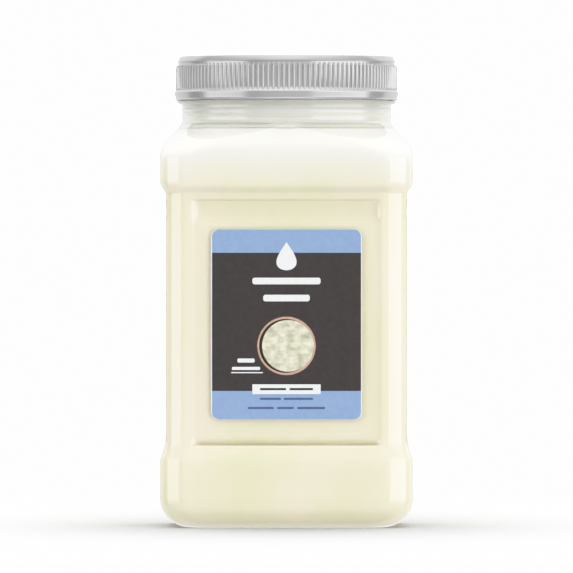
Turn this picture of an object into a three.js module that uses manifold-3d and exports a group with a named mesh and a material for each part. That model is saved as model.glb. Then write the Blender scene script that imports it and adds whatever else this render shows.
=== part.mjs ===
// A clear square plastic jar of milk powder, with a ribbed screw lid and a label on its front.
// Millimetres, +Z up. The origin is the middle of the base, and the label faces -Y.
import * as THREE from "three";
import { mergeVertices } from "three/addons/utils/BufferGeometryUtils.js";
import { ConvexGeometry } from "three/addons/geometries/ConvexGeometry.js";
import Module from "manifold-3d";

// The jar's square body: two full bands with a slimmer waist between them.
const BAND_HALF = 69.5; // half the width across the upper and lower band
const WAIST_HALF = 66.4; // half the width across the waist
const BODY_CORNER = 17; // radius of the bands' four upright corners
const WALL = 1.8;
const BASE_WALL = 1.1;

// Heights up the jar.
const BASE_ROUND = 17; // radius between the base and the sides
const LOWER_BAND_TOP = 37.2;
const WAIST_BOTTOM = 47.2;
const WAIST_TOP = 183;
const UPPER_BAND_BOTTOM = 187.6;
const BAND_ROUND_AT = 0.58; // the upper band's underside turns upright at this share of its height
const BAND_ROUND_OUT = 0.8; // and of its width
const SHOULDER_BOTTOM = 201;
const NECK_BOTTOM = 223.4;
const BEAD_BOTTOM = 231.7;
const BEAD_TOP = 234.1;
const MOUTH = 256.7;

// The shallow flat panel in each side of the waist, which takes the label.
const PANEL_DEPTH = 0.6;
const PANEL_HALF = 52.5;
const PANEL_BOTTOM = 45.2;
const PANEL_TOP = 179.2;
const PANEL_CORNER = 3;
const PANEL_CUT = 6; // how far out each panel's cut reaches

// The underside's shallow push-up.
const PUSH_UP = 2.6;
const PUSH_UP_HALF = 43;
const FOOT_HALF = 47;
const FOOT_CORNER = 12;

// The round neck and the bead under the lid.
const NECK_RADIUS = 57.9;
const BEAD_RADIUS = 60.7;
const BEAD_EDGE = 0.4; // height of the bead's upright edge
const RING_HEIGHT = 0.5; // how far each fine ring stands out of the neck
const RING_WIDTH = 1.5;
const NECK_RINGS = [226.2, 229.4];
const ROUND_FLAT = 0.7; // half the short flat left between two corner arcs where the jar is round
const SHOULDER_BIAS = 1.6; // keeps the shoulder full until near the neck

// The powder.
const POWDER_GAP = 0.3;
const POWDER_LEVEL = 219;
const POWDER_WAVE = 0.9; // how far the settled surface rises and dips

// The screw lid.
const LID_BOTTOM = 234.5;
const LID_TOP = 258.9;
const LIP_RADIUS = 61.8; // the narrow lip round the lid's lower edge
const LIP_TOP = 235.7;
const SKIRT_BOTTOM = 236.1;
const SKIRT_LOW_RADIUS = 61.3; // the skirt draws in above the lip
const SKIRT_RADIUS = 62.1;
const SKIRT_TOP = 238.7;
const LID_WALL_RADIUS = 60.3; // the bottom of the grooves between the ribs
const GROOVE_RADIUS = 59.9; // the groove between the ribs and the crown
const GROOVE_TOP = 256.3;
const LID_CROWN_RADIUS = 60.4;
const LID_INSIDE_RADIUS = 59.1;
const LID_PLATE = 1.4;
const LID_EDGE = 2; // radius of the rounded top edge
const LID_RIM_WIDTH = 7;
const LID_SINK = 0.5; // how far the plate lies below its rim
const LID_SOFTEN = 0.4; // the small bevels on the lip and the groove
const RIB_COUNT = 134;
const RIB_BOTTOM = 241.2;
const RIB_TOP = 254.5;
const RIB_PEAK_RADIUS = 61.25;
const RIB_BASE_WIDTH = 1.7;
const RIB_PEAK_WIDTH = 0.6;
const RIB_END_SLOPE = 1.1;
const RIB_FOOT = 1.4; // how far a rib runs down into the skirt's slope
const RIB_ROOT = 0.4; // how deep a rib is sunk in the wall

// The label on the front of the waist.
const LABEL_WIDTH = 82.4;
const LABEL_HEIGHT = 104.2;
const LABEL_MIDDLE = 111.2;
const LABEL_CORNER = 4.6;
const LABEL_THICK = 0.4;
const LABEL_GAP = 0.3;

// How finely the curves are split.
const CORNER_STEPS = 8;
const PLATE_STEPS = 4;
const ROUND_STEPS = 5;
const BLEND_STEPS = 4;
const SHOULDER_STEPS = 8;
const LID_STEPS = 67; // half the number of ribs, so that each flat facet takes two
const POWDER_RINGS = 4;

const wasm = await Module();
wasm.setup();

const mix = THREE.MathUtils.lerp;
const ease = (t) => t * t * (3 - 2 * t);

// One level of the jar: a square of the given half width with round corners.
function level(z, half, corner) {
  return { z, half, corner };
}

// A level of the body, whose upright corners all turn about the same lines.
function bodyLevel(z, half) {
  return level(z, half, half - BAND_HALF + BODY_CORNER);
}

// Levels from one level to another along an eased curve.
function blend(from, to, steps, bias = 1) {
  const levels = [];
  for (let i = 0; i <= steps; i++) {
    const t = i / steps;
    const bent = ease(Math.pow(t, bias));
    levels.push(
      level(
        mix(from.z, to.z, t),
        mix(from.half, to.half, bent),
        mix(from.corner, to.corner, ease(t)),
      ),
    );
  }
  return levels;
}

// The quarter round between the base and the sides, moved in and up.
function baseRound(inset, lift) {
  const levels = [];
  for (let i = 0; i <= ROUND_STEPS; i++) {
    const angle = ((i / ROUND_STEPS) * Math.PI) / 2;
    levels.push(
      level(
        BASE_ROUND - (BASE_ROUND - lift) * Math.cos(angle),
        BAND_HALF - BASE_ROUND + (BASE_ROUND - inset) * Math.sin(angle),
        mix(FOOT_CORNER, BODY_CORNER - inset, Math.sin(angle)),
      ),
    );
  }
  return levels;
}

// A level of the round neck.
function roundLevel(z, radius) {
  return level(z, radius, radius - ROUND_FLAT);
}

// The body from the push-up to the foot of the neck, with its sides moved in and its base up.
function bodyLevels(inset = 0, lift = 0) {
  const band = BAND_HALF - inset;
  const waist = WAIST_HALF - inset;
  return [
    level(PUSH_UP + lift, PUSH_UP_HALF, FOOT_CORNER),
    level(lift, FOOT_HALF, FOOT_CORNER),
    ...baseRound(inset, lift),
    ...blend(bodyLevel(LOWER_BAND_TOP, band), bodyLevel(WAIST_BOTTOM, waist), BLEND_STEPS),
    bodyLevel(WAIST_TOP, waist),
    bodyLevel(mix(WAIST_TOP, UPPER_BAND_BOTTOM, BAND_ROUND_AT), mix(waist, band, BAND_ROUND_OUT)),
    bodyLevel(UPPER_BAND_BOTTOM, band),
    ...blend(
      bodyLevel(SHOULDER_BOTTOM, band),
      roundLevel(NECK_BOTTOM, NECK_RADIUS - inset),
      SHOULDER_STEPS,
      SHOULDER_BIAS,
    ),
  ];
}

// The outside of the neck, with its fine rings and the bead under the lid.
function neckLevels() {
  const levels = [];
  for (const z of NECK_RINGS) {
    levels.push(roundLevel(z - RING_WIDTH / 2, NECK_RADIUS));
    levels.push(roundLevel(z, NECK_RADIUS + RING_HEIGHT));
    levels.push(roundLevel(z + RING_WIDTH / 2, NECK_RADIUS));
  }
  levels.push(roundLevel(BEAD_BOTTOM, NECK_RADIUS));
  levels.push(roundLevel(BEAD_TOP - BEAD_EDGE, BEAD_RADIUS));
  levels.push(roundLevel(BEAD_TOP, BEAD_RADIUS));
  levels.push(roundLevel(BEAD_TOP, NECK_RADIUS));
  levels.push(roundLevel(MOUTH, NECK_RADIUS));
  return levels;
}

// The level at a height between two of a list of levels.
function levelAt(levels, z) {
  const above = levels.findIndex((each) => each.z > z);
  const low = levels[above - 1];
  const high = levels[above];
  const t = (z - low.z) / (high.z - low.z);
  return level(z, mix(low.half, high.half, t), mix(low.corner, high.corner, t));
}

// The points round one level, counter-clockwise seen from above.
function levelPoints({ z, half, corner }) {
  const points = [];
  for (let quarter = 0; quarter < 4; quarter++) {
    for (let i = 0; i <= CORNER_STEPS; i++) {
      const angle = ((quarter + i / CORNER_STEPS) * Math.PI) / 2;
      const middle = ((quarter + 0.5) * Math.PI) / 2;
      const reach = (half - corner) * Math.SQRT2;
      points.push([
        reach * Math.cos(middle) + corner * Math.cos(angle),
        reach * Math.sin(middle) + corner * Math.sin(angle),
        z,
      ]);
    }
  }
  return points;
}

// A closed surface through rings of points, with its two ends closed to a middle point each.
function loft(rings, firstMiddle, lastMiddle) {
  const around = rings[0].length;
  const positions = [...rings.flat(), firstMiddle, lastMiddle].flat();
  const first = rings.length * around;
  const last = first + 1;
  const index = [];
  for (let i = 0; i < around; i++) {
    const next = (i + 1) % around;
    index.push(first, next, i);
    for (let ring = 0; ring + 1 < rings.length; ring++) {
      const low = ring * around;
      const high = low + around;
      index.push(low + i, low + next, high + next);
      index.push(low + i, high + next, high + i);
    }
    const top = (rings.length - 1) * around;
    index.push(top + i, top + next, last);
  }
  const geometry = new THREE.BufferGeometry();
  geometry.setAttribute("position", new THREE.Float32BufferAttribute(positions, 3));
  geometry.setIndex(index);
  return geometry;
}

// A three.js geometry as a manifold solid.
function solid(geometry) {
  const bare = geometry.clone();
  bare.deleteAttribute("normal");
  bare.deleteAttribute("uv");
  const merged = mergeVertices(bare, 1e-4);
  return new wasm.Manifold(
    new wasm.Mesh({
      numProp: 3,
      vertProperties: merged.getAttribute("position").array,
      triVerts: new Uint32Array(merged.getIndex().array),
    }),
  );
}

// A manifold solid as a three.js geometry.
function geometryOf(body) {
  const mesh = body.getMesh();
  const geometry = new THREE.BufferGeometry();
  geometry.setAttribute("position", new THREE.BufferAttribute(mesh.vertProperties, 3));
  geometry.setIndex(new THREE.BufferAttribute(mesh.triVerts, 1));
  return geometry;
}

// An upright plate with round corners, centred on the origin, whose face looks along -Y.
function plate(width, height, corner, thick) {
  const right = width / 2;
  const top = height / 2;
  const outline = new THREE.Shape();
  outline.absarc(right - corner, top - corner, corner, 0, Math.PI / 2);
  outline.absarc(corner - right, top - corner, corner, Math.PI / 2, Math.PI);
  outline.absarc(corner - right, corner - top, corner, Math.PI, 1.5 * Math.PI);
  outline.absarc(right - corner, corner - top, corner, 1.5 * Math.PI, 2 * Math.PI);
  const settings = { depth: thick, bevelEnabled: false, curveSegments: PLATE_STEPS };
  return new THREE.ExtrudeGeometry(outline, settings).rotateX(Math.PI / 2);
}

// The block that cuts one side's panel out of the waist.
function panelCut(side) {
  const height = PANEL_TOP - PANEL_BOTTOM;
  return plate(2 * PANEL_HALF, height, PANEL_CORNER, PANEL_CUT)
    .translate(0, PANEL_DEPTH - WAIST_HALF, PANEL_BOTTOM + height / 2)
    .rotateZ((side * Math.PI) / 2);
}

// The jar: up the outside from the push-up to the mouth, and down the inside to the base.
function jarGeometry() {
  const outside = [...bodyLevels(), ...neckLevels()];
  const inside = [...bodyLevels(WALL, BASE_WALL), roundLevel(MOUTH, NECK_RADIUS - WALL)];
  const rings = [...outside, ...inside.reverse()].map(levelPoints);
  const shell = solid(loft(rings, [0, 0, PUSH_UP], [0, 0, PUSH_UP + BASE_WALL]));
  const cuts = [0, 1, 2, 3].map((side) => solid(panelCut(side)));
  return geometryOf(shell.subtract(wasm.Manifold.union(cuts)));
}

// The height of the powder's settled surface at a point, level where it meets the wall.
function powderSurface(x, y, share) {
  const wave = Math.sin(x * 0.07 + 0.8) * Math.cos(y * 0.09 - 0.4);
  const ripple = 0.4 * Math.sin(x * 0.21 - y * 0.17);
  return POWDER_LEVEL + POWDER_WAVE * (wave + ripple) * (1 - share * share);
}

// The powder fills the jar's inside up to its uneven surface.
function powderGeometry() {
  const lift = BASE_WALL + POWDER_GAP;
  const levels = bodyLevels(WALL + POWDER_GAP, lift);
  const rings = levels.filter(({ z }) => z < POWDER_LEVEL).map(levelPoints);
  const edge = levelPoints(levelAt(levels, POWDER_LEVEL));
  for (let i = 0; i < POWDER_RINGS; i++) {
    const share = 1 - i / POWDER_RINGS;
    rings.push(
      edge.map(([x, y]) => [x * share, y * share, powderSurface(x * share, y * share, share)]),
    );
  }
  return loft(rings, [0, 0, PUSH_UP + lift], [0, 0, powderSurface(0, 0, 0)]);
}

// The lid without its ribs, as a turned profile that closes on the axis.
function lidProfile() {
  const inside = LID_TOP - LID_SINK - LID_PLATE;
  const rim = LID_CROWN_RADIUS - LID_RIM_WIDTH;
  const outline = [
    [0, inside],
    [LID_INSIDE_RADIUS, inside],
    [LID_INSIDE_RADIUS, LID_BOTTOM],
    [LIP_RADIUS - LID_SOFTEN, LID_BOTTOM],
    [LIP_RADIUS, LID_BOTTOM + LID_SOFTEN],
    [LIP_RADIUS, LIP_TOP],
    [SKIRT_LOW_RADIUS, SKIRT_BOTTOM],
    [SKIRT_RADIUS, SKIRT_TOP],
    [LID_WALL_RADIUS, RIB_BOTTOM],
    [LID_WALL_RADIUS, RIB_TOP - RIB_END_SLOPE],
    [GROOVE_RADIUS, RIB_TOP],
    [GROOVE_RADIUS, GROOVE_TOP - LID_SOFTEN],
    [LID_CROWN_RADIUS, GROOVE_TOP],
  ];
  for (let i = 0; i <= ROUND_STEPS; i++) {
    const angle = ((i / ROUND_STEPS) * Math.PI) / 2;
    outline.push([
      LID_CROWN_RADIUS - LID_EDGE * (1 - Math.cos(angle)),
      LID_TOP - LID_EDGE * (1 - Math.sin(angle)),
    ]);
  }
  outline.push([rim, LID_TOP]);
  outline.push([rim - LID_SINK, LID_TOP - LID_SINK]);
  outline.push([0, LID_TOP - LID_SINK]);
  return outline.map(([radius, z]) => new THREE.Vector2(radius, z));
}

// One rib of the lid's grip: a narrow ridge whose ends slope back to the wall.
function ribGeometry(angle) {
  const root = LID_WALL_RADIUS - RIB_ROOT;
  const points = [];
  for (const side of [-1, 1]) {
    const foot = (side * RIB_BASE_WIDTH) / 2;
    const peak = (side * RIB_PEAK_WIDTH) / 2;
    points.push(new THREE.Vector3(root, foot, RIB_BOTTOM - RIB_FOOT));
    points.push(new THREE.Vector3(root, foot, RIB_TOP));
    points.push(new THREE.Vector3(RIB_PEAK_RADIUS, peak, RIB_BOTTOM - RIB_FOOT));
    points.push(new THREE.Vector3(RIB_PEAK_RADIUS, peak, RIB_TOP - RIB_END_SLOPE));
  }
  return new ConvexGeometry(points).rotateZ(angle);
}

// The lid with its ring of ribs.
function lidGeometry() {
  const turned = new THREE.LatheGeometry(lidProfile(), LID_STEPS).rotateX(Math.PI / 2);
  const ribs = [];
  for (let i = 0; i < RIB_COUNT; i++) {
    ribs.push(solid(ribGeometry((2 * Math.PI * i) / RIB_COUNT)));
  }
  return geometryOf(wasm.Manifold.union([solid(turned), ...ribs]));
}

function material(color, roughness, metalness, opacity = 1) {
  return new THREE.MeshStandardMaterial({
    color,
    roughness,
    metalness,
    opacity,
    transparent: opacity < 1,
  });
}

function named(name, geometry, finish) {
  const mesh = new THREE.Mesh(geometry, finish);
  mesh.name = name;
  return mesh;
}

const group = new THREE.Group();
group.add(named("jar", jarGeometry(), material(0xf1f1ea, 0.08, 0, 0.3)));
group.add(named("powder", powderGeometry(), material(0xefe8d3, 0.95, 0)));
group.add(named("lid", lidGeometry(), material(0xd3d4d2, 0.4, 0)));

const labelPlate = plate(LABEL_WIDTH, LABEL_HEIGHT, LABEL_CORNER, LABEL_THICK);
const label = named("label", labelPlate, material(0x4f4a48, 0.6, 0));
label.position.set(0, PANEL_DEPTH - WAIST_HALF - LABEL_GAP, LABEL_MIDDLE);
group.add(label);

export default group;
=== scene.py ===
# Looks of a clear square plastic jar of milk powder with a ribbed screw lid and a printed label.
# Lengths are in metres in the frame's own axes: +Z up, and the label faces -Y.
import math

import bpy
import numpy as np
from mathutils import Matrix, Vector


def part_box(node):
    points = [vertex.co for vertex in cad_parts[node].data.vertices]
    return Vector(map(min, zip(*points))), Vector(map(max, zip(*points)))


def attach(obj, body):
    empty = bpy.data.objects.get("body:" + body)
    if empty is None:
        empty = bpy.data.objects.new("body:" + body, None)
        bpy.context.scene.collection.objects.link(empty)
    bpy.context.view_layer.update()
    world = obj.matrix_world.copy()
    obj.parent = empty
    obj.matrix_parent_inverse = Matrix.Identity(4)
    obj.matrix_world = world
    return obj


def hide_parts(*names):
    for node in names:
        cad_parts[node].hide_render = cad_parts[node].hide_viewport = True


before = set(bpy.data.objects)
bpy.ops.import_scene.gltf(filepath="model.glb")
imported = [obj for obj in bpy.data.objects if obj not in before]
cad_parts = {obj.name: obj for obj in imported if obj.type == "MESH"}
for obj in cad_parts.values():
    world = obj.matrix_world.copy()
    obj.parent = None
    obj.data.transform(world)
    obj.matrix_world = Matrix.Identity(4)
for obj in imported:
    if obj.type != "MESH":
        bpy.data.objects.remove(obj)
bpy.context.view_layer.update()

MM = 0.001

# The jar's body: half widths, the radius of the bands' upright corners, the wall, and how much
# each of its edges is rounded.
BAND_HALF = 69.5 * MM
WAIST_HALF = 66.4 * MM
BODY_CORNER = 17 * MM
WALL = 1.8 * MM
BASE_WALL = 1.1 * MM
POWDER_REACH = 0.15 * MM  # how far the powder reaches into the wall
FLARE_SOFTENING = 4.4 * MM
LOWER_SOFTENING = 1.6 * MM
BAND_SOFTENING = 2.4 * MM
CREASE_SOFTENING = 0.6 * MM
FOOT_SOFTENING = 1 * MM
CURVE_SOFTENING = 0.5 * MM  # for the stations along a curve

# Heights up the jar.
BASE_ROUND = 17 * MM
LOWER_BAND_TOP = 37.2 * MM
WAIST_BOTTOM = 46.4 * MM
WAIST_TOP = 183 * MM
UPPER_BAND_BOTTOM = 187.6 * MM
SHOULDER_BOTTOM = 201 * MM
NECK_BOTTOM = 223.4 * MM
BEAD_BOTTOM = 231.8 * MM
BEAD_EDGE = 232.7 * MM
BEAD_TOP = 234.1 * MM
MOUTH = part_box("jar")[1].z

# The shallow flat panel in each side of the waist.
PANEL_DEPTH = 0.6 * MM
PANEL_BOTTOM = 45.2 * MM
PANEL_TOP = 179.2 * MM
PANEL_SOFT = 0.25 * MM  # half the height over which the panel's ends step in
PANEL_FADE = 0.03  # share of a flat side over which the panel's edges step in
ROLL_IN_TOP = 51 * MM  # from here down the panel rolls in towards its lower end
ROLL_IN_DEPTH = 2.6 * MM
HOLLOW_BOTTOM = 164.5 * MM  # from here up the panel sinks in below its upper end
HOLLOW_MIDDLE = 171.5 * MM  # and from here up it comes out again
HOLLOW_DEPTH = 1.3 * MM
HOLLOW_RETURN = 0.9 * MM
ROLL_FADE = 0.06  # share of a flat side over which both begin

# The underside's push-up.
PUSH_UP = 2.6 * MM
PUSH_UP_HALF = 43 * MM
FOOT_HALF = 47 * MM
FOOT_CORNER = 12 * MM

# The neck.
NECK_RADIUS = 57.9 * MM
BEAD_EDGE_RADIUS = 60.2 * MM
BEAD_RADIUS = 60.7 * MM
RING_HEIGHT = 0.8 * MM
RING_WIDTH = 1.5 * MM
NECK_RINGS = (226.2 * MM, 229.4 * MM)
RING_SOFTENING = 0.25 * MM
NECK_SOFTENING = 0.4 * MM
SHOULDER_BIAS = 1.6  # above 1 the shoulder stays wide for longer

# How strongly the plastic bends light: round the powder, and in the bare neck above it.
BODY_BEND = 1.03
NECK_BEND = 1.12
PLASTIC_TINT = (0.45, 0.46, 0.41)
BODY_DENSITY = 22.0
NECK_DENSITY = 8.0
BODY_HAZE = 0.03
NECK_HAZE = 0.18
NECK_CLARITY = 0.8
NECK_CLEAR = 221.5 * MM

# The film of powder on the inside of the neck.
DUST_BOTTOM = 218 * MM
DUST_TOP = 246 * MM
DUST_THICK = 0.35 * MM

# The powder's settled surface.
POWDER_LEVEL = 219 * MM
POWDER_WAVE = 0.9 * MM
SURFACE_RINGS = 24
SURFACE_MIDDLE = 0.04  # the innermost ring's share of the surface's width
PAINTED_HIGHLIGHT_START = 176 * MM  # the powder's colour is painted paler from here up, a painted highlight for the light from above
PAINTED_HIGHLIGHT_END = 214 * MM

# The lid.
LID_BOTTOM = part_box("lid")[0].z
LID_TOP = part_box("lid")[1].z
LIP_RADIUS = 61.8 * MM
LIP_MIDDLE = 234.55 * MM
SKIRT_BOTTOM = 235.6 * MM
SKIRT_LOW_RADIUS = 61.3 * MM
SKIRT_RADIUS = 62.1 * MM
SKIRT_TOP = 238.7 * MM
GROOVE_RADIUS = 59.9 * MM
GROOVE_TOP = 255.65 * MM
LID_WALL_RADIUS = 60.3 * MM
LID_CROWN_RADIUS = 60.4 * MM
LID_INSIDE_RADIUS = 59.1 * MM
LID_PLATE = 1.4 * MM
LID_EDGE = 0.8 * MM
LID_CROWN_SLOPE = 1.6 * MM  # how far the crown's side leans in
LID_RIM_WIDTH = 7 * MM
LID_SINK = 0.5 * MM
LID_MIDDLE = 5 * MM  # radius of the innermost ring of the lid's discs
LID_SOFTENING = 0.3 * MM
LIP_SOFTENING = 0.15 * MM
LID_SOFT_STEPS = 3
LID_CURVE_STEPS = 7
RIB_COUNT = 134
RIB_BOTTOM = 241.2 * MM
RIB_TOP = 253.8 * MM
RIB_PEAK_RADIUS = 61.25 * MM
RIB_DOME = 1.3 * MM  # length over which a rib's top rounds off
RIB_SAMPLES = 12
RIB_WIDEN = 0.1  # a rib takes up a little over half of its pitch
RIB_STEEP = 0.6
LID_SHEEN = 0.4  # how metallic the lid's pearly plastic looks

# The label.
LABEL_LOW, LABEL_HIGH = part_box("label")
LABEL_WIDTH = LABEL_HIGH.x - LABEL_LOW.x
LABEL_BOTTOM = LABEL_LOW.z
LABEL_TOP = LABEL_HIGH.z
LABEL_CORNER = 4.6 * MM
LABEL_THICK = 0.3 * MM
LABEL_BITE = 0.05 * MM  # how far the label's back lies in the wall
LABEL_FACE = PANEL_DEPTH - WAIST_HALF - LABEL_THICK
LABEL_BACK = PANEL_DEPTH - WAIST_HALF + LABEL_BITE
LABEL_BORDER = 0.55 * MM  # the bare white edge at each side, and above and below
LABEL_END_BORDER = 0.2 * MM
PRINT_STEP = 0.03 * MM  # each layer of print stands this far off the one below
TOP_BAND = 13 * MM
BOTTOM_BAND = 15.8 * MM

# Bars that stand for the label's lines of print, in millimetres: left, right, height, thickness.
TITLE_BARS = ((-18.6, 18.6, 134.9, 3.6), (-12.7, 12.7, 125.6, 3.6))
SIDE_BARS = ((-26.8, -17.4, 91.5, 2.2), (-29.8, -14.4, 87.2, 1.7), (-30.2, -12.9, 84.9, 0.6))
TAG_BARS = ((-14.5, -0.2, 75.9, 1.2), (1.6, 14.5, 75.9, 1.2))
UPPER_LINE = ((-14.5, -3, 70.6, 1.2), (-1.5, 14.5, 70.6, 1.2))
LOWER_LINE = ((-21, -7, 65.6, 1.2), (-5.2, 4, 65.6, 1.2), (5.8, 21, 65.6, 1.2))
BAR_ROUNDING = 0.35  # share of a bar's thickness that its corners' radius takes up
TAG_HALF = 18.6 * MM
TAG_BOTTOM = 73.2 * MM
TAG_TOP = 78.5 * MM
DROP_MIDDLE = 148.6 * MM
DROP_RADIUS = 7.8 * MM
DROP_TAPER = 1.5

# The bowl of powder on the label, seen from above.
BOWL_HEIGHT = 99.5 * MM
BOWL_RADIUS = 16.4 * MM
BOWL_RIM_RADIUS = 15.9 * MM
BOWL_INSIDE_RADIUS = 14.7 * MM
BOWL_POWDER_RADIUS = 14.1 * MM
BOWL_POWDER_SHIFT = 0.8 * MM

# How finely curves are split.
CORNER_STEPS = 24
SIDE_STEPS = 8
EDGE_STEPS = 5
SOFT_STEPS = 6
BLEND_STEPS = 14

# The photograph's camera: a long lens level with the middle of the jar.
PICTURE = 573
MM_PER_PIXEL = 0.5518
CAMERA_DISTANCE = 6.0
CAMERA_HEIGHT = 131.9 * MM
SENSOR = 36.0

# The studio's brightness: everywhere, and what each of its lights adds.
DIM_LIGHT = 0.12
FRONT_LIGHT = 0.55
LEFT_LIGHT = 2.6
RIGHT_LIGHT = 2.95
TOP_LIGHT = 2.15
REAR_LIGHT = 1.3
BACKDROP_LIGHT = 0.95
GROUND_LIGHT = 0.8
SHOWN_WHITE = 2.0  # how much brighter the backdrop looks than it shines

# The floor, with a soft shadow painted into its colour round the jar.
FLOOR_RADIUS = 0.8
# The floor's tone right by the jar, the darkest part of the painted shadow.
FLOOR_PAINTED_SHADOW_TONE = 0.4
FLOOR_FAR_TONE = 0.86
FLOOR_FADE = 0.5  # distance at which the painted shadow has faded to the far tone
FLOOR_NARROWING = 2.6  # the painted shadow is this much narrower across than towards the front

# Tones above the first level roll off, and reach white at the second.
ROLL_START = 0.7
ROLL_WHITE = 1.6
ROLL_STEPS = 7


def mix(a, b, t):
    return a + (b - a) * t


def ease(t):
    return t * t * (3 - 2 * t)


def rounded(stations, steps=SOFT_STEPS):
    """A smooth profile through stations of (z, half width, corner radius, softening)."""
    points = [np.array(s[:3], float) for s in stations]
    profile = [points[0]]
    for before, here, after, station in zip(points, points[1:], points[2:], stations[1:]):
        if station[3] == 0:
            profile.append(here)
            continue
        arms = []
        for other in (before, after):
            length = np.linalg.norm((other - here)[:2])
            arms.append(here + (other - here) * min(station[3] / length, 0.45))
        for t in np.linspace(0, 1, steps + 1):
            profile.append(mix(mix(arms[0], here, t), mix(here, arms[1], t), t))
    profile.append(points[-1])
    return profile


def body_level(z, half, softening):
    """A station of the body, whose upright corners all turn about the same lines."""
    return (z, half, half - BAND_HALF + BODY_CORNER, softening)


def blend(low, high, steps=BLEND_STEPS, bias=1.0):
    """Stations along an eased curve between two of (z, half width, corner radius)."""
    stations = []
    for i in range(steps + 1):
        t = i / steps
        stations.append(
            (
                mix(low[0], high[0], t),
                mix(low[1], high[1], ease(t**bias)),
                mix(low[2], high[2], ease(t)),
                CURVE_SOFTENING,
            )
        )
    return stations


def base_round(inset, lift):
    """The quarter round between the base and the sides, moved in and up."""
    stations = []
    for i in range(BLEND_STEPS + 1):
        angle = i / BLEND_STEPS * math.pi / 2
        stations.append(
            (
                BASE_ROUND - (BASE_ROUND - lift) * math.cos(angle),
                BAND_HALF - BASE_ROUND + (BASE_ROUND - inset) * math.sin(angle),
                mix(FOOT_CORNER, BODY_CORNER - inset, math.sin(angle)),
                CURVE_SOFTENING,
            )
        )
    return stations


def body_stations(inset, lift):
    """The body from the push-up to the foot of the neck, moved in and its base up."""
    band = BAND_HALF - inset
    waist = WAIST_HALF - inset
    neck = NECK_RADIUS - inset
    shoulder = blend(
        body_level(SHOULDER_BOTTOM, band, 0),
        (NECK_BOTTOM, neck, neck),
        bias=SHOULDER_BIAS,
    )
    return [
        (PUSH_UP + lift, PUSH_UP_HALF * 0.5, FOOT_CORNER * 0.5, 0),
        (PUSH_UP + lift, PUSH_UP_HALF, FOOT_CORNER, FOOT_SOFTENING),
        (lift, FOOT_HALF, FOOT_CORNER, FOOT_SOFTENING),
        *base_round(inset, lift),
        body_level(LOWER_BAND_TOP, band, LOWER_SOFTENING),
        body_level(WAIST_BOTTOM, waist, FLARE_SOFTENING),
        body_level(WAIST_TOP, waist, CREASE_SOFTENING),
        body_level(UPPER_BAND_BOTTOM, band, BAND_SOFTENING),
        *shoulder,
    ]


def neck_stations():
    """The neck's outside with its two rings and its bead, up to the mouth."""
    stations = []
    for z in NECK_RINGS:
        for side, height in ((-1, 0), (0, RING_HEIGHT), (1, 0)):
            radius = NECK_RADIUS + height
            stations.append((z + side * RING_WIDTH / 2, radius, radius, RING_SOFTENING))
    for z, radius in (
        (BEAD_BOTTOM, NECK_RADIUS),
        (BEAD_EDGE, BEAD_EDGE_RADIUS),
        (BEAD_TOP - 0.4 * MM, BEAD_RADIUS),
        (BEAD_TOP, BEAD_RADIUS),
        (BEAD_TOP + 0.1 * MM, NECK_RADIUS),
        (MOUTH, NECK_RADIUS),
    ):
        stations.append((z, radius, radius, NECK_SOFTENING))
    return stations


def panel_share(z):
    """How far a level lies in the panel's height: 0 outside it and 1 inside."""
    low = np.clip((z - PANEL_BOTTOM + PANEL_SOFT) / (2 * PANEL_SOFT), 0, 1)
    high = np.clip((PANEL_TOP + PANEL_SOFT - z) / (2 * PANEL_SOFT), 0, 1)
    return ease(low) * ease(high)


def roll(z):
    """How far the panel lies in at a level: it rolls in below, and is hollow near its upper end."""
    low = np.clip((ROLL_IN_TOP - z) / (ROLL_IN_TOP - PANEL_BOTTOM), 0, 1)
    sunk = np.clip((z - HOLLOW_BOTTOM) / (HOLLOW_MIDDLE - HOLLOW_BOTTOM), 0, 1)
    high = np.clip((z - HOLLOW_MIDDLE) / (PANEL_TOP - HOLLOW_MIDDLE), 0, 1)
    return ROLL_IN_DEPTH * low**2 + HOLLOW_DEPTH * ease(sunk) - HOLLOW_RETURN * high**2


def with_panel_levels(profile):
    """The profile with more levels where the panel's ends step in and it rolls in."""
    heights = [
        edge + PANEL_SOFT * t
        for edge in (PANEL_BOTTOM, PANEL_TOP)
        for t in np.linspace(-1, 1, EDGE_STEPS)
    ]
    for t in np.linspace(0, 0.93, BLEND_STEPS):
        heights.append(mix(ROLL_IN_TOP, PANEL_BOTTOM, t))
        heights.append(mix(HOLLOW_BOTTOM, PANEL_TOP, t))
    heights.sort()
    levels = [profile[0]]
    for low, high in zip(profile, profile[1:]):
        for z in heights:
            if low[0] < z < high[0]:
                levels.append(mix(low, high, (z - low[0]) / (high[0] - low[0])))
        levels.append(high)
    return levels


def side_places():
    """Places along a flat side, as shares of its length, closer where the panel begins."""
    edge = np.linspace(0, PANEL_FADE, EDGE_STEPS)[1:]
    beside = np.linspace(PANEL_FADE, ROLL_FADE, EDGE_STEPS)[1:]
    middle = np.linspace(ROLL_FADE, 1 - ROLL_FADE, SIDE_STEPS)[1:-1]
    return [*edge, *beside, *middle, *(1 - beside[::-1]), *(1 - edge[::-1])]


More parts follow.
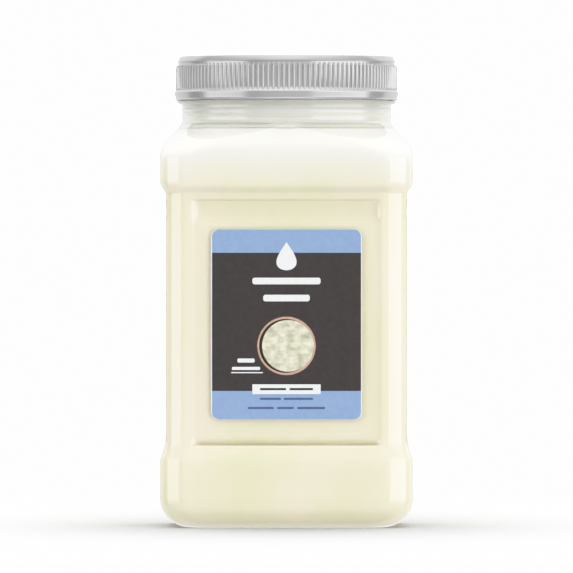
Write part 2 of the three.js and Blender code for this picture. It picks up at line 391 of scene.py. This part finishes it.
def level_ring(z, half, corner, inset):
    """Points round one level of the jar, counter-clockwise from above."""
    corner = min(corner, half - 0.3 * MM)
    panel = WAIST_HALF - inset - PANEL_DEPTH
    sink = max(half - panel, 0) * panel_share(z)
    rolled = roll(z) * panel_share(z)
    points = []
    for quarter in range(4):
        middle = (quarter + 0.5) * math.pi / 2
        reach = (half - corner) * math.sqrt(2)
        for i in range(CORNER_STEPS + 1):
            angle = (quarter + i / CORNER_STEPS) * math.pi / 2
            points.append(
                (
                    reach * math.cos(middle) + corner * math.cos(angle),
                    reach * math.sin(middle) + corner * math.sin(angle),
                    z,
                )
            )
        outward = np.array((math.cos(angle), math.sin(angle), 0))
        along = np.array((-outward[1], outward[0], 0)) * 2 * (half - corner)
        start = np.array(points[-1])
        for share in side_places():
            aside = min(share, 1 - share)
            depth = sink * ease(min(aside / PANEL_FADE, 1))
            depth += rolled * ease(min(aside / ROLL_FADE, 1))
            points.append(tuple(start + along * share - outward * depth))
    return np.array(points)


def new_object(name, vertices, faces, material):
    mesh = bpy.data.meshes.new(name)
    mesh.from_pydata([tuple(v) for v in vertices], [], faces)
    mesh.validate()
    mesh.shade_smooth()
    mesh.materials.append(material)
    piece = bpy.data.objects.new(name, mesh)
    bpy.context.scene.collection.objects.link(piece)
    return piece


def loft(name, rings, ends, material):
    """A closed skin through rings of points, with its ends closed to one point each."""
    around = len(rings[0])
    vertices = np.vstack([*rings, np.array(ends)])
    first = len(rings) * around
    last = first + 1
    top = first - around
    faces = []
    for i in range(around):
        after = (i + 1) % around
        faces.append((first, after, i))
        faces.append((top + i, top + after, last))
        for ring in range(len(rings) - 1):
            low = ring * around
            high = low + around
            faces.append((low + i, low + after, high + after, high + i))
    return new_object(name, vertices, faces, material)


def tube(name, rings, material):
    """A closed skin through rings of points, whose last ring joins the first."""
    around = len(rings[0])
    count = len(rings)
    faces = []
    for ring in range(count):
        low = ring * around
        high = (ring + 1) % count * around
        for i in range(around):
            after = (i + 1) % around
            faces.append((low + i, low + after, high + after, high + i))
    return new_object(name, np.vstack(rings), faces, material)


def nodes_of(name):
    """A new material's node tree, its shader, and a function that adds a node to it."""
    material = bpy.data.materials.new(name)
    material.use_nodes = True
    tree = material.node_tree
    shader = tree.nodes["Principled BSDF"]

    def add(kind, **settings):
        node = tree.nodes.new(kind)
        for key, value in settings.items():
            if key in node.inputs:
                node.inputs[key].default_value = value
            else:
                setattr(node, key, value)
        return node

    return material, tree.links, shader, add


def noise(links, add, scale, detail=3.0, stretch=(1, 1, 1)):
    """A noise in the object's own coordinates, stretched along an axis where asked."""
    place = add("ShaderNodeTexCoord")
    mapping = add("ShaderNodeMapping")
    mapping.inputs["Scale"].default_value = stretch
    texture = add("ShaderNodeTexNoise", Scale=scale, Detail=detail)
    links.new(place.outputs["Object"], mapping.inputs["Vector"])
    links.new(mapping.outputs["Vector"], texture.inputs["Vector"])
    return texture.outputs["Fac"]


def between(links, add, factor, low, high):
    """The factor stretched to run from low to high."""
    node = add("ShaderNodeMapRange")
    node.inputs["From Min"].default_value = 0.3
    node.inputs["From Max"].default_value = 0.7
    node.inputs["To Min"].default_value = low
    node.inputs["To Max"].default_value = high
    links.new(factor, node.inputs["Value"])
    return node.outputs["Result"]


def colour_between(links, add, factor, dark, light):
    node = add("ShaderNodeMix", data_type="RGBA")
    node.inputs[6].default_value = (*dark, 1)
    node.inputs[7].default_value = (*light, 1)
    links.new(between(links, add, factor, 0, 1), node.inputs[0])
    return node.outputs[2]


def bump(links, add, shader, factor, distance, strength=1.0):
    node = add("ShaderNodeBump", Distance=distance, Strength=strength)
    links.new(factor, node.inputs["Height"])
    links.new(node.outputs["Normal"], shader.inputs["Normal"])


def clear_plastic(name, bend, density, haze, clarity):
    """Clear glossy plastic. Its bend is low round the powder, so that the wall's edge stays pale."""
    material, links, shader, add = nodes_of(name)
    shader.inputs["Base Color"].default_value = (0.985, 0.99, 0.98, 1)
    shader.inputs["Transmission Weight"].default_value = clarity
    shader.inputs["IOR"].default_value = bend
    tint = add("ShaderNodeVolumeAbsorption", Density=density)
    tint.inputs["Color"].default_value = (*PLASTIC_TINT, 1)
    output = material.node_tree.nodes["Material Output"]
    links.new(tint.outputs["Volume"], output.inputs["Volume"])
    shader.inputs["Coat Weight"].default_value = 1
    shader.inputs["Coat IOR"].default_value = 1.6
    shader.inputs["Coat Roughness"].default_value = haze
    ripple = noise(links, add, 35, 2, (1, 1, 0.3))
    links.new(between(links, add, ripple, 0.0, 0.03), shader.inputs["Roughness"])
    bump(links, add, shader, ripple, 0.05 * MM, 0.25)
    return material


def milk_powder():
    material, links, shader, add = nodes_of("milk_powder")
    clouds = noise(links, add, 26, 4, (1, 1, 0.6))
    grain = noise(links, add, 900, 3)
    colour = colour_between(links, add, clouds, (0.84, 0.815, 0.57), (0.93, 0.845, 0.68))
    # Towards the shoulder the powder's colour is painted paler, a painted highlight for the light
    # from above.
    place = add("ShaderNodeTexCoord")
    split = add("ShaderNodeSeparateXYZ")
    links.new(place.outputs["Object"], split.inputs[0])
    painted_highlight_share = add("ShaderNodeMapRange", interpolation_type="SMOOTHSTEP")
    painted_highlight_share.inputs["From Min"].default_value = PAINTED_HIGHLIGHT_START
    painted_highlight_share.inputs["From Max"].default_value = PAINTED_HIGHLIGHT_END
    links.new(split.outputs["Z"], painted_highlight_share.inputs["Value"])
    pale = add("ShaderNodeMix", data_type="RGBA")
    pale.inputs[7].default_value = (0.94, 0.92, 0.84, 1)
    links.new(painted_highlight_share.outputs["Result"], pale.inputs[0])
    links.new(colour, pale.inputs[6])
    links.new(pale.outputs[2], shader.inputs["Base Color"])
    shader.inputs["Roughness"].default_value = 0.95
    shader.inputs["Specular IOR Level"].default_value = 0.2
    bump(links, add, shader, grain, 0.15 * MM, 0.4)
    return material


def powder_dust():
    material, links, shader, add = nodes_of("powder_dust")
    streaks = noise(links, add, 32, 4, (0.3, 0.3, 14))
    colour = colour_between(links, add, streaks, (0.86, 0.86, 0.73), (0.99, 0.985, 0.94))
    links.new(colour, shader.inputs["Base Color"])
    links.new(between(links, add, streaks, 0.85, 1.0), shader.inputs["Alpha"])
    shader.inputs["Roughness"].default_value = 0.95
    bump(links, add, shader, noise(links, add, 700, 3), 0.1 * MM, 0.4)
    return material


def lid_plastic():
    material, links, shader, add = nodes_of("lid_plastic")
    haze = noise(links, add, 60, 4)
    colour = colour_between(links, add, haze, (0.44, 0.44, 0.44), (0.47, 0.47, 0.47))
    links.new(colour, shader.inputs["Base Color"])
    shader.inputs["Metallic"].default_value = LID_SHEEN
    links.new(between(links, add, haze, 0.16, 0.22), shader.inputs["Roughness"])
    bump(links, add, shader, noise(links, add, 1500, 2), 0.02 * MM, 0.3)
    return material


def print_ink(name, dark, light, roughness=0.4):
    material, links, shader, add = nodes_of(name)
    fleck = noise(links, add, 400, 3)
    links.new(colour_between(links, add, fleck, dark, light), shader.inputs["Base Color"])
    links.new(
        between(links, add, noise(links, add, 90, 2), roughness - 0.04, roughness + 0.04),
        shader.inputs["Roughness"],
    )
    bump(links, add, shader, fleck, 0.01 * MM, 0.3)
    return material


def printed_powder():
    """The print of a heap of powder, mottled pale cream and grey-green."""
    material, links, shader, add = nodes_of("label_powder")
    lumps = noise(links, add, 210, 5, (1, 1, 1.3))
    colour = colour_between(links, add, lumps, (0.42, 0.42, 0.29), (0.86, 0.84, 0.68))
    links.new(colour, shader.inputs["Base Color"])
    shader.inputs["Roughness"].default_value = 0.45
    bump(links, add, shader, lumps, 0.02 * MM, 0.3)
    return material


def make_jar():
    """The clear body and neck in one piece, the bare neck in a clearer plastic."""
    outside = with_panel_levels(rounded([*body_stations(0, 0), *neck_stations()]))
    brim = (MOUTH, NECK_RADIUS - WALL, NECK_RADIUS - WALL, 0)
    inside = with_panel_levels(rounded([*body_stations(WALL, BASE_WALL), brim]))
    rings = [level_ring(*p, 0) for p in outside]
    rings += [level_ring(*p, WALL) for p in reversed(inside)]
    ends = [(0, 0, PUSH_UP), (0, 0, PUSH_UP + BASE_WALL)]
    body = clear_plastic("clear_plastic", BODY_BEND, BODY_DENSITY, BODY_HAZE, 1)
    neck = clear_plastic(
        "clear_plastic_neck", NECK_BEND, NECK_DENSITY, NECK_HAZE, NECK_CLARITY
    )
    jar = loft("jar_shell", rings, ends, body)
    jar.data.materials.append(neck)
    for face in jar.data.polygons:
        face.material_index = int(face.center.z > NECK_CLEAR)
    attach(jar, "root")
    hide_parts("jar")


def powder_height(x, y, share):
    """The powder's surface: two crossing waves that die out towards the wall."""
    wave = np.sin(x / MM * 0.07 + 0.8) * np.cos(y / MM * 0.09 - 0.4)
    ripple = 0.4 * np.sin(x / MM * 0.21 - y / MM * 0.17)
    return POWDER_LEVEL + POWDER_WAVE * (wave + ripple) * (1 - share * share)


def make_powder():
    """The powder, which reaches just into the wall and ends in an uneven surface."""
    lift = BASE_WALL - POWDER_REACH
    inset = WALL - POWDER_REACH
    profile = with_panel_levels(rounded(body_stations(inset, lift)))
    below = [p for p in profile if p[0] < POWDER_LEVEL]
    above = next(p for p in profile if p[0] >= POWDER_LEVEL)
    t = (POWDER_LEVEL - below[-1][0]) / (above[0] - below[-1][0])
    edge = level_ring(*mix(below[-1], above, t), inset)
    rings = [level_ring(*p, inset) for p in below]
    for share in np.linspace(1, SURFACE_MIDDLE, SURFACE_RINGS):
        ring = edge * (share, share, 1)
        ring[:, 2] = powder_height(ring[:, 0], ring[:, 1], share)
        rings.append(ring)
    ends = [(0, 0, PUSH_UP + lift), (0, 0, powder_height(0, 0, 0))]
    powder = loft("powder_fill", rings, ends, milk_powder())
    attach(powder, "root")
    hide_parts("powder")


def make_dust():
    """The thin film of powder that clings to the wall from the powder's level up."""
    rings = []
    for depth, way in ((0, 1), (DUST_THICK, -1)):
        inset = WALL - POWDER_REACH + depth
        radius = NECK_RADIUS - inset
        profile = rounded([*body_stations(inset, BASE_WALL), (DUST_TOP, radius, radius, 0)])
        film = [p for p in profile if p[0] > DUST_BOTTOM]
        rings += [level_ring(*p, inset) for p in film[::way]]
    dust = tube("powder_dust", rings, powder_dust())
    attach(dust, "root")


def rib_profile(across):
    """The height of the ribs at a share of one pitch: a steep round ridge and a flat groove."""
    wave = np.cos(2 * math.pi * across)
    return (np.clip(wave + RIB_WIDEN, 0, None) / (1 + RIB_WIDEN)) ** RIB_STEEP


def rib_top(z):
    """How much of its height a rib has at a level: its top rounds off."""
    share = np.clip((RIB_TOP - z) / RIB_DOME, 0, 1)
    return np.sqrt(1 - (1 - share) ** 2)


def lid_outline():
    """The lid's turned outline as (z, radius, radius, softening), from inside to the top."""
    inside = LID_TOP - LID_SINK - LID_PLATE
    rim = LID_CROWN_RADIUS - LID_RIM_WIDTH
    crown = LID_CROWN_RADIUS - LID_CROWN_SLOPE
    stations = [
        (inside, LID_MIDDLE, 0, 0),
        (inside, LID_INSIDE_RADIUS, 0, CURVE_SOFTENING),
        (LID_BOTTOM, LID_INSIDE_RADIUS, 0, LID_SOFTENING),
        (LID_BOTTOM, LIP_RADIUS, 0, LIP_SOFTENING),
        (LIP_MIDDLE, LIP_RADIUS, 0, LIP_SOFTENING),
        (SKIRT_BOTTOM, SKIRT_LOW_RADIUS, 0, 0.2 * MM),
        (SKIRT_TOP, SKIRT_RADIUS, 0, CURVE_SOFTENING),
    ]
    for t in np.linspace(0, 1, LID_CURVE_STEPS)[1:]:
        z = mix(SKIRT_TOP, RIB_BOTTOM, t)
        stations.append((z, mix(SKIRT_RADIUS, LID_WALL_RADIUS, t), 0, 0))
    for t in np.linspace(0, 1, LID_CURVE_STEPS):
        z = RIB_TOP - RIB_DOME * (1 - t) ** 2
        up = (z - RIB_BOTTOM) / (RIB_TOP - RIB_BOTTOM)
        stations.append((z, mix(LID_WALL_RADIUS, GROOVE_RADIUS, up), 0, 0))
    stations += [
        (GROOVE_TOP - LID_SOFTENING, GROOVE_RADIUS, 0, LID_SOFTENING),
        (GROOVE_TOP, LID_CROWN_RADIUS, 0, 0.2 * MM),
        (LID_TOP, crown, 0, LID_EDGE),
        (LID_TOP, rim, 0, LID_SOFTENING),
        (LID_TOP - LID_SINK, rim - LID_SINK, 0, LID_SOFTENING),
        (LID_TOP - LID_SINK, LID_MIDDLE, 0, 0),
    ]
    return stations


def make_lid():
    """The lid as one turned piece, with its ribs raised between the skirt and the groove."""
    columns = RIB_COUNT * RIB_SAMPLES
    angles = np.arange(columns) / columns * 2 * math.pi
    ridge = rib_profile(np.arange(columns) / RIB_SAMPLES)
    rings = []
    for z, radius, _ in rounded(lid_outline(), LID_SOFT_STEPS):
        ribbed = SKIRT_TOP <= z <= RIB_TOP and radius > LID_INSIDE_RADIUS + 0.5 * MM
        height = max(RIB_PEAK_RADIUS - radius, 0) * rib_top(z) if ribbed else 0
        out = radius + height * ridge
        level = np.full(columns, z)
        rings.append(np.stack([out * np.cos(angles), out * np.sin(angles), level], 1))
    inside = LID_TOP - LID_SINK - LID_PLATE
    ends = [(0, 0, inside), (0, 0, LID_TOP - LID_SINK)]
    lid = loft("lid_ribbed", rings, ends, lid_plastic())
    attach(lid, "root")
    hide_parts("lid")


def round_rectangle(low_x, high_x, low_z, high_z, radius, steps=10):
    points = []
    for quarter, (x, z) in enumerate(
        (
            (high_x - radius, high_z - radius),
            (low_x + radius, high_z - radius),
            (low_x + radius, low_z + radius),
            (high_x - radius, low_z + radius),
        )
    ):
        for i in range(steps + 1):
            angle = (quarter + i / steps) * math.pi / 2
            points.append((x + radius * math.cos(angle), z + radius * math.sin(angle)))
    return points


def circle(x, z, radius, steps=72):
    turn = [i / steps * 2 * math.pi for i in range(steps)]
    return [(x + radius * math.cos(a), z + radius * math.sin(a)) for a in turn]


def bars(places):
    """Outlines of the bars at some places, each (left, right, height, thickness) in millimetres."""
    outlines = []
    for left, right, height, thick in places:
        low = (height - thick / 2) * MM
        high = (height + thick / 2) * MM
        radius = BAR_ROUNDING * thick * MM
        outlines.append(round_rectangle(left * MM, right * MM, low, high, radius))
    return outlines


def drop(x, z, radius, steps=72):
    """A falling drop: round below and drawn to a point above."""
    points = []
    for i in range(steps):
        turn = -i / steps * 2 * math.pi
        width = math.sin(turn) * abs(math.sin(turn / 2)) ** DROP_TAPER
        points.append((x + radius * width, z + radius * math.cos(turn)))
    return points


def layer(level):
    """How far forward a layer of print stands, counted up from the bare label."""
    return LABEL_FACE - PRINT_STEP * level


def plates(name, outlines, back, face, material):
    """Flat plates that face -Y, one for each outline of (x, z), joined as one piece."""
    vertices, faces = [], []
    for outline in outlines:
        start = len(vertices)
        count = len(outline)
        vertices += [(x, face, z) for x, z in outline]
        vertices += [(x, back, z) for x, z in outline]
        faces.append(tuple(range(start, start + count)))
        faces.append(tuple(range(start + 2 * count - 1, start + count - 1, -1)))
        for i in range(count):
            after = (i + 1) % count
            faces.append((start + after, start + i, start + count + i, start + count + after))
    piece = new_object(name, vertices, faces, material)
    piece.data.shade_flat()
    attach(piece, "root")
    return piece


def make_bowl():
    """A bowl of powder seen from above, printed on the label as a few flat shapes."""
    brown = print_ink("label_brown", (0.070, 0.038, 0.026), (0.090, 0.050, 0.034))
    copper = print_ink("label_copper", (0.50, 0.33, 0.25), (0.60, 0.42, 0.33))
    shadow = print_ink("label_shadow", (0.020, 0.008, 0.003), (0.028, 0.012, 0.005))
    rim = circle(0, BOWL_HEIGHT, BOWL_RIM_RADIUS)
    inside = circle(-0.3 * BOWL_POWDER_SHIFT, BOWL_HEIGHT, BOWL_INSIDE_RADIUS)
    heap = circle(BOWL_POWDER_SHIFT, BOWL_HEIGHT, BOWL_POWDER_RADIUS)
    edge = circle(0, BOWL_HEIGHT, BOWL_RADIUS)
    plates("label_bowl_edge", [edge], layer(2), layer(3), brown)
    plates("label_bowl_rim", [rim], layer(3), layer(4), copper)
    plates("label_bowl_inside", [inside], layer(4), layer(5), shadow)
    plates("label_bowl_powder", [heap], layer(5), layer(6), printed_powder())


def make_label():
    """The label: a white sheet, its two fields of colour, and plain shapes for its print."""
    right = LABEL_WIDTH / 2
    edge = right - LABEL_BORDER
    white = print_ink("label_white", (0.80, 0.81, 0.82), (0.86, 0.87, 0.88))
    blue = print_ink("label_blue", (0.245, 0.36, 0.575), (0.27, 0.39, 0.615))
    charcoal = print_ink("label_charcoal", (0.032, 0.026, 0.026), (0.040, 0.032, 0.032))
    navy = print_ink("label_navy", (0.065, 0.10, 0.24), (0.08, 0.12, 0.27))
    whole = round_rectangle(-right, right, LABEL_BOTTOM, LABEL_TOP, LABEL_CORNER)
    sheet = plates("label_sheet", [whole], LABEL_BACK, LABEL_FACE, white)
    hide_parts("label")
    bottom = LABEL_BOTTOM + LABEL_END_BORDER
    top = LABEL_TOP - LABEL_END_BORDER
    field = round_rectangle(-edge, edge, bottom, top, LABEL_CORNER - LABEL_BORDER)
    plates("label_blue_field", [field], layer(0), layer(1), blue)
    low = LABEL_BOTTOM + BOTTOM_BAND
    high = LABEL_TOP - TOP_BAND
    dark = [(-edge, low), (edge, low), (edge, high), (-edge, high)]
    plates("label_dark_field", [dark], layer(1), layer(2), charcoal)
    emblem = drop(0, DROP_MIDDLE, DROP_RADIUS)
    plates("label_drop", [emblem], layer(1), layer(3), white)
    plates("label_title_bars", bars(TITLE_BARS), layer(2), layer(3), white)
    plates("label_side_bars", bars(SIDE_BARS), layer(2), layer(3), white)
    tag = round_rectangle(-TAG_HALF, TAG_HALF, TAG_BOTTOM, TAG_TOP, 0.2 * MM)
    plates("label_tag", [tag], layer(1), layer(3), white)
    plates("label_tag_bars", bars(TAG_BARS), layer(3), layer(4), charcoal)
    plates("label_low_bars", bars(UPPER_LINE + LOWER_LINE), layer(1), layer(2), navy)
    make_bowl()


def make_stage():
    """A pale floor with a soft shadow painted into its colour near the jar. Only the camera sees it,
    so light comes from below too.
    """
    material, links, shader, add = nodes_of("floor_white_painted_shadow")
    place = add("ShaderNodeTexCoord")
    narrow = add("ShaderNodeMapping", Scale=(FLOOR_NARROWING, 1, 1))
    distance = add("ShaderNodeVectorMath", operation="LENGTH")
    links.new(place.outputs["Object"], narrow.inputs["Vector"])
    links.new(narrow.outputs["Vector"], distance.inputs[0])
    # The floor's colour runs from the painted shadow's tone by the jar out to the far tone.
    tone = add("ShaderNodeMapRange")
    tone.inputs["From Max"].default_value = FLOOR_FADE
    tone.inputs["To Min"].default_value = FLOOR_PAINTED_SHADOW_TONE
    tone.inputs["To Max"].default_value = FLOOR_FAR_TONE
    links.new(distance.outputs["Value"], tone.inputs["Value"])
    links.new(tone.outputs["Result"], shader.inputs["Base Color"])
    shader.inputs["Roughness"].default_value = 0.9
    shader.inputs["Specular IOR Level"].default_value = 0
    rim = [(x, y, 0) for x, y in circle(0, 0, FLOOR_RADIUS)]
    floor = new_object("floor", rim, [tuple(range(len(rim)))], material)
    floor.visible_diffuse = False
    floor.visible_glossy = False
    floor.visible_transmission = False
    floor.visible_shadow = False


def make_lights():
    """A white studio: a dim front, a tall light at each side, and more light above and behind."""
    world = bpy.data.worlds.new("studio")
    bpy.context.scene.world = world
    world.use_nodes = True
    tree = world.node_tree

    def connect(socket, value):
        if isinstance(value, (int, float)):
            socket.default_value = value
        else:
            tree.links.new(value, socket)

    def calc(operation, *values):
        node = tree.nodes.new("ShaderNodeMath")
        node.operation = operation
        for socket, value in zip(node.inputs, values):
            connect(socket, value)
        return node.outputs[0]

    def step(value, start, end):
        """Runs smoothly from 0 at start to 1 at end."""
        node = tree.nodes.new("ShaderNodeMapRange")
        node.interpolation_type = "SMOOTHSTEP"
        node.inputs["From Min"].default_value = start
        node.inputs["From Max"].default_value = end
        connect(node.inputs["Value"], value)
        return node.outputs["Result"]

    def softbox(brightness, turn, turns, heights, softness):
        """A patch of light between two turns and two heights, in degrees, with soft edges."""
        light = brightness
        for value, edge, way, soft in (
            (turn, turns[0], 1, softness[0]),
            (turn, turns[1], -1, softness[0]),
            (height, heights[0], 1, softness[1]),
            (height, heights[1], -1, softness[1]),
        ):
            share = step(value, edge - soft, edge + soft)
            if way < 0:
                share = calc("SUBTRACT", 1.0, share)
            light = calc("MULTIPLY", light, share)
        return light

    place = tree.nodes.new("ShaderNodeTexCoord")
    split = tree.nodes.new("ShaderNodeSeparateXYZ")
    tree.links.new(place.outputs["Generated"], split.inputs[0])
    toward = calc("MULTIPLY", split.outputs["Y"], -1.0)
    turn = calc("DEGREES", calc("ARCTAN2", split.outputs["X"], toward))
    away = calc("ABSOLUTE", turn)
    height = calc("DEGREES", calc("ARCSINE", split.outputs["Z"]))
    light = DIM_LIGHT
    # Each light's reach sideways and up, and how soft its edges are, in degrees.
    for brightness, direction, turns, heights, softness in (
        (FRONT_LIGHT, away, (-20, 28), (-25, 50), (10, 20)),
        (LEFT_LIGHT, turn, (-95, -44), (-20, 22), (5, 13)),
        (RIGHT_LIGHT, turn, (28, 95), (-20, 22), (5, 13)),
        (TOP_LIGHT, away, (-20, 200), (48, 120), (8, 22)),
        (REAR_LIGHT, away, (118, 200), (22, 60), (8, 10)),
        (BACKDROP_LIGHT, away, (122, 200), (-25, 22), (4, 8)),
        (GROUND_LIGHT, away, (-20, 200), (-60, -25), (8, 10)),
    ):
        light = calc("ADD", light, softbox(brightness, direction, turns, heights, softness))
    rays = tree.nodes.new("ShaderNodeLightPath")
    shown = calc("MULTIPLY", rays.outputs["Is Camera Ray"], SHOWN_WHITE)
    background = tree.nodes["Background"]
    background.inputs["Color"].default_value = (1, 1, 1, 1)
    tree.links.new(calc("ADD", light, shown), background.inputs["Strength"])


def soft_whites():
    """Rolls the brightest tones off smoothly up to white."""
    view = bpy.context.scene.view_settings
    view.view_transform = "Standard"
    view.use_curve_mapping = True
    curves = view.curve_mapping
    curves.white_level = (ROLL_WHITE, ROLL_WHITE, ROLL_WHITE)
    points = curves.curves[3].points
    for t in np.linspace(0, 1, ROLL_STEPS)[:-1]:
        tone = mix(ROLL_START, ROLL_WHITE, t)
        shown = mix(ROLL_START, 1, 1 - (1 - t) ** 3)
        points.new(tone / ROLL_WHITE, shown)
    points.new(0.5 * ROLL_START / ROLL_WHITE, 0.5 * ROLL_START)
    curves.update()


def make_camera():
    data = bpy.data.cameras.new("camera")
    data.sensor_width = SENSOR
    data.lens = SENSOR * CAMERA_DISTANCE / (PICTURE * MM_PER_PIXEL * MM)
    camera = bpy.data.objects.new("camera", data)
    camera.location = (0, -CAMERA_DISTANCE, CAMERA_HEIGHT)
    camera.rotation_euler = (math.pi / 2, 0, 0)
    bpy.context.scene.collection.objects.link(camera)
    bpy.context.scene.camera = camera


soft_whites()
make_camera()
make_lights()
make_stage()
make_jar()
make_powder()
make_dust()
make_lid()
make_label()
